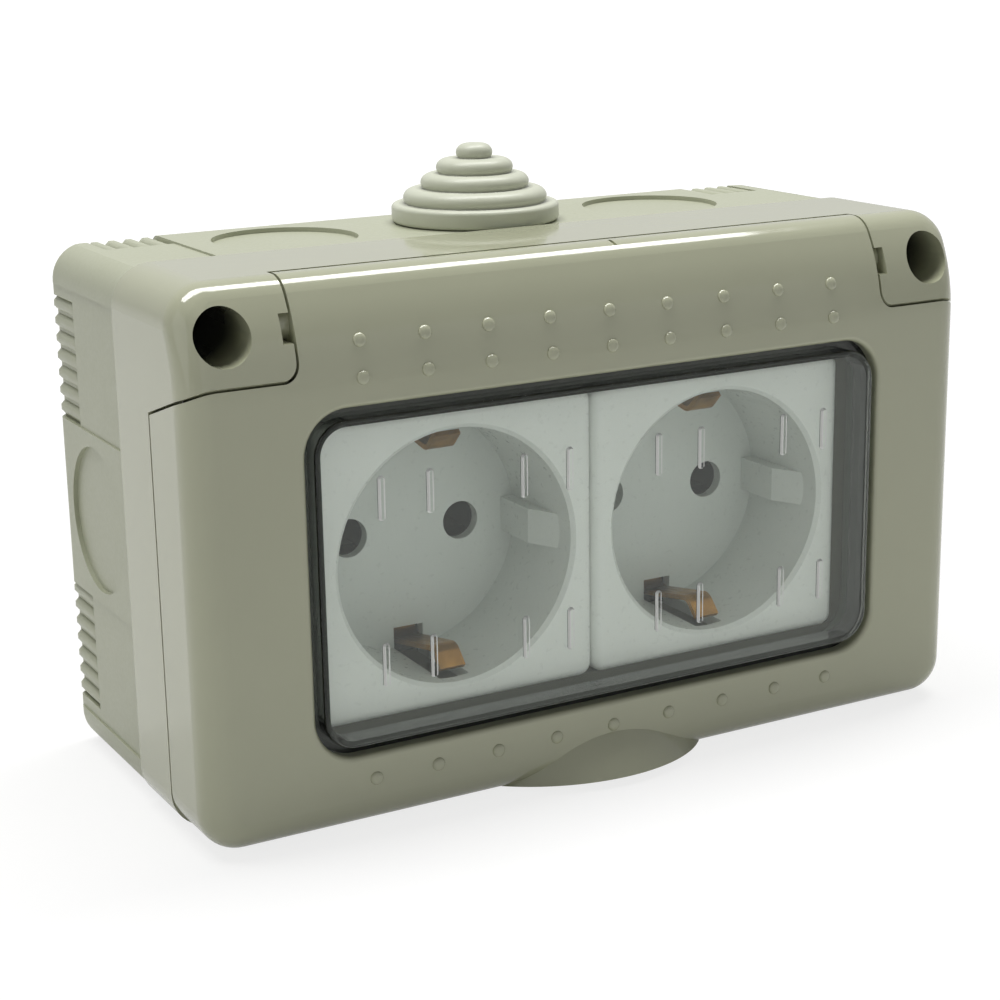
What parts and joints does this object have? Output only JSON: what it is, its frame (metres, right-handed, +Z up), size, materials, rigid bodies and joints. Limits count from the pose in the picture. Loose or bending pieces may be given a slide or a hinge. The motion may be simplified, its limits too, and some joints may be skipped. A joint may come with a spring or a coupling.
{
  "type": "outdoor weatherproof socket",
  "caption": "Surface-mounted weatherproof wall socket: a rounded box with a hinged, windowed flap over round earthed plug recesses side by side and a stepped cable grommet on top.",
  "frame": {"origin": "centre of the flat rear face that lies against the wall", "axes": "+Y into the wall, so the front faces -Y; +X to the right seen from the front; +Z up"},
  "size_m": [0.1316, 0.062, 0.0923],
  "materials": {
    "box_plastic": "moulded, satin",
    "cover_plastic": "moulded, polished",
    "window_plastic": "clear, slightly smoked",
    "insert_plastic": "moulded, smooth",
    "base_plastic": "moulded",
    "seal_rubber": "soft, matt",
    "grommet_rubber": "soft, matt",
    "brass": "stamped",
    "plated_steel": "zinc plated"
  },
  "bodies": {
    "housing": {"back_box": "box_plastic", "box_seal": "seal_rubber", "front_frame": "cover_plastic", "cover_screws": "plated_steel", "cable_grommet": "grommet_rubber", "socket_face_left": "insert_plastic", "socket_face_right": "insert_plastic", "socket_base_left": "base_plastic", "socket_base_right": "base_plastic", "earth_strap_left": "brass", "earth_strap_right": "brass", "line_contact_left": "brass", "line_contact_right": "brass", "neutral_contact_left": "brass", "neutral_contact_right": "brass", "terminal_screws_left": "plated_steel", "terminal_screws_right": "plated_steel"},
    "cover_flap": {"flap": "cover_plastic", "flap_window": "window_plastic", "flap_seal": "seal_rubber"}
  },
  "joints": [
    {"name": "flap_hinge", "type": "hinge", "parent": "housing", "child": "cover_flap", "pos_m": [0, -0.0515, 0.03375], "axis": [-1, 0, 0], "range_deg": [0, 120]}
  ]
}
